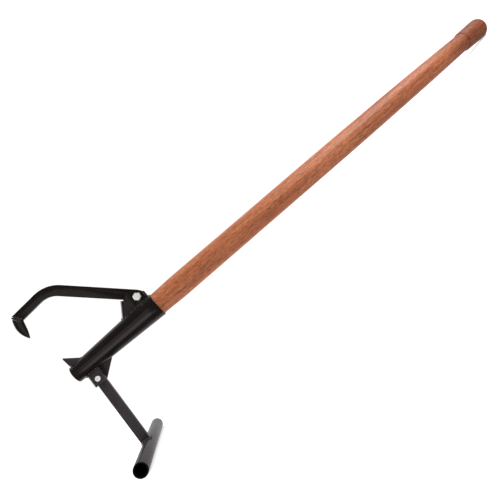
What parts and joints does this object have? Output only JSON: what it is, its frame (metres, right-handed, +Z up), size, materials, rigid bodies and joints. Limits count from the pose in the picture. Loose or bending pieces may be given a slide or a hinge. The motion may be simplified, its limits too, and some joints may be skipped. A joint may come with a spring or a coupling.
{
  "type": "log_jack",
  "caption": "Log jack: a turned wooden handle in a tapered steel socket, with a swinging hook, a welded spike, and a folding leg on a foot tube",
  "frame": {"origin": "centre of the foot tube's bore, with the jack standing on the foot tube and the knob", "axes": "+X along the handle towards the grip, +Y along the foot tube, +Z up"},
  "size_m": [1.2226, 0.254, 0.3748],
  "materials": {
    "varnished_wood": "varnished, fine lengthwise grain",
    "dark_steel": "semi-gloss black paint",
    "grey_steel": "semi-gloss dark grey paint",
    "zinc": "zinc plated"
  },
  "bodies": {
    "frame": {"socket": "dark_steel", "handle": "varnished_wood", "handle_screw": "zinc", "socket_spike": "grey_steel", "spike_weld": "grey_steel", "hook_bracket": "dark_steel", "hook_bracket_weld": "dark_steel", "hook_bolt": "zinc", "hook_lock_nut": "dark_steel", "leg_bracket": "grey_steel", "leg_bracket_weld": "grey_steel", "leg_gusset": "grey_steel", "gusset_weld": "grey_steel", "leg_pin": "zinc", "pin_washer": "zinc", "pin_cotter": "zinc"},
    "hook": {"hook_bar": "dark_steel", "hook_claw": "dark_steel", "claw_weld": "dark_steel"},
    "leg": {"leg_bar": "grey_steel", "foot_tube": "grey_steel", "foot_weld": "grey_steel"}
  },
  "joints": [
    {"name": "hook_swing", "type": "hinge", "parent": "frame", "child": "hook", "pos_m": [0.19958, -0.0072, 0.20479], "axis": [0, 1, 0], "range_deg": [-3, 105]},
    {"name": "leg_fold", "type": "hinge", "parent": "frame", "child": "leg", "pos_m": [0.03618, -0.0072, 0.15832], "axis": [0, -1, 0], "range_deg": [0, 90]}
  ]
}
